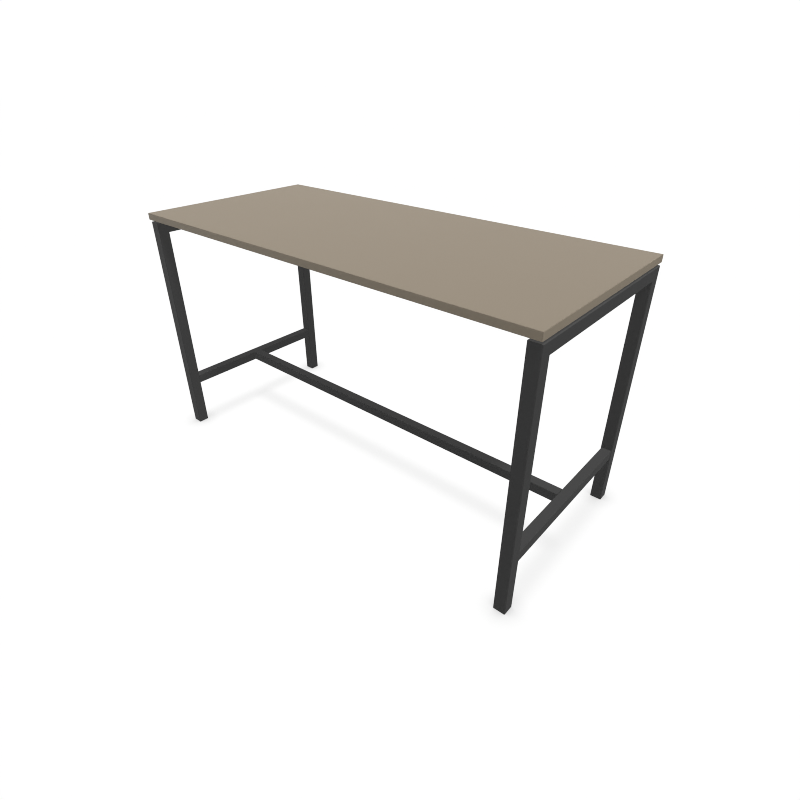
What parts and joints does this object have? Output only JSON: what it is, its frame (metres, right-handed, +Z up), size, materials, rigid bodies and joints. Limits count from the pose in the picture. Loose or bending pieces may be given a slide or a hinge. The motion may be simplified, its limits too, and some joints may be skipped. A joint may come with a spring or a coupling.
{
  "type": "standing meeting table",
  "caption": "Standing-height meeting table: a rectangular laminated top floating above a dark square-tube frame, with an H-shaped footrest and levelling glides in the legs.",
  "frame": {"origin": "on the floor below the middle of the top", "axes": "+X along the length of the top, +Z up, -Y towards the front long side"},
  "size_m": [1.8, 0.8, 1.007],
  "materials": {
    "laminate": "matt taupe laminate",
    "edge_band": "matt taupe edging to match the laminate",
    "backing": "matt taupe backing sheet",
    "core": "raw chipboard",
    "frame": "matt anthracite powder coat",
    "foot_plug": "black moulded plastic",
    "glide": "black moulded plastic",
    "fastener": "zinc plated"
  },
  "bodies": {
    "table": {"backing_laminate": "backing", "beam_back": "frame", "beam_bolt_back_inner_left": "fastener", "beam_bolt_back_inner_right": "fastener", "beam_bolt_back_outer_left": "fastener", "beam_bolt_back_outer_right": "fastener", "beam_bolt_front_inner_left": "fastener", "beam_bolt_front_inner_right": "fastener", "beam_bolt_front_outer_left": "fastener", "beam_bolt_front_outer_right": "fastener", "beam_front": "frame", "beam_plate_back_left": "frame", "beam_plate_back_right": "frame", "beam_plate_front_left": "frame", "beam_plate_front_right": "frame", "core_board": "core", "crossbar_left": "frame", "crossbar_right": "frame", "edge_band_back": "edge_band", "edge_band_front": "edge_band", "edge_band_left": "edge_band", "edge_band_right": "edge_band", "end_rail_left": "frame", "end_rail_right": "frame", "foot_plug_back_left": "foot_plug", "foot_plug_back_right": "foot_plug", "foot_plug_front_left": "foot_plug", "foot_plug_front_right": "foot_plug", "footrest_stretcher": "frame", "leg_back_left": "frame", "leg_back_right": "frame", "leg_front_left": "frame", "leg_front_right": "frame", "stretcher_screw_left": "fastener", "stretcher_screw_right": "fastener", "stretcher_spigot_left": "frame", "stretcher_spigot_right": "frame", "top_laminate": "laminate", "top_screw_back_left": "fastener", "top_screw_back_middle": "fastener", "top_screw_back_right": "fastener", "top_screw_front_left": "fastener", "top_screw_front_middle": "fastener", "top_screw_front_right": "fastener", "weld_nut_back_inner_left": "fastener", "weld_nut_back_inner_right": "fastener", "weld_nut_back_outer_left": "fastener", "weld_nut_back_outer_right": "fastener", "weld_nut_front_inner_left": "fastener", "weld_nut_front_inner_right": "fastener", "weld_nut_front_outer_left": "fastener", "weld_nut_front_outer_right": "fastener"},
    "levelling_glide_front_left": {"levelling_glide_front_left": "glide"},
    "levelling_glide_front_right": {"levelling_glide_front_right": "glide"},
    "levelling_glide_back_left": {"levelling_glide_back_left": "glide"},
    "levelling_glide_back_right": {"levelling_glide_back_right": "glide"}
  },
  "joints": [
    {"name": "levelling_glide_front_left_slide", "type": "slide", "parent": "table", "child": "levelling_glide_front_left", "axis": [0, 0, -1], "range_m": [0, 0.012]},
    {"name": "levelling_glide_front_right_slide", "type": "slide", "parent": "table", "child": "levelling_glide_front_right", "axis": [0, 0, -1], "range_m": [0, 0.012]},
    {"name": "levelling_glide_back_left_slide", "type": "slide", "parent": "table", "child": "levelling_glide_back_left", "axis": [0, 0, -1], "range_m": [0, 0.012]},
    {"name": "levelling_glide_back_right_slide", "type": "slide", "parent": "table", "child": "levelling_glide_back_right", "axis": [0, 0, -1], "range_m": [0, 0.012]}
  ]
}
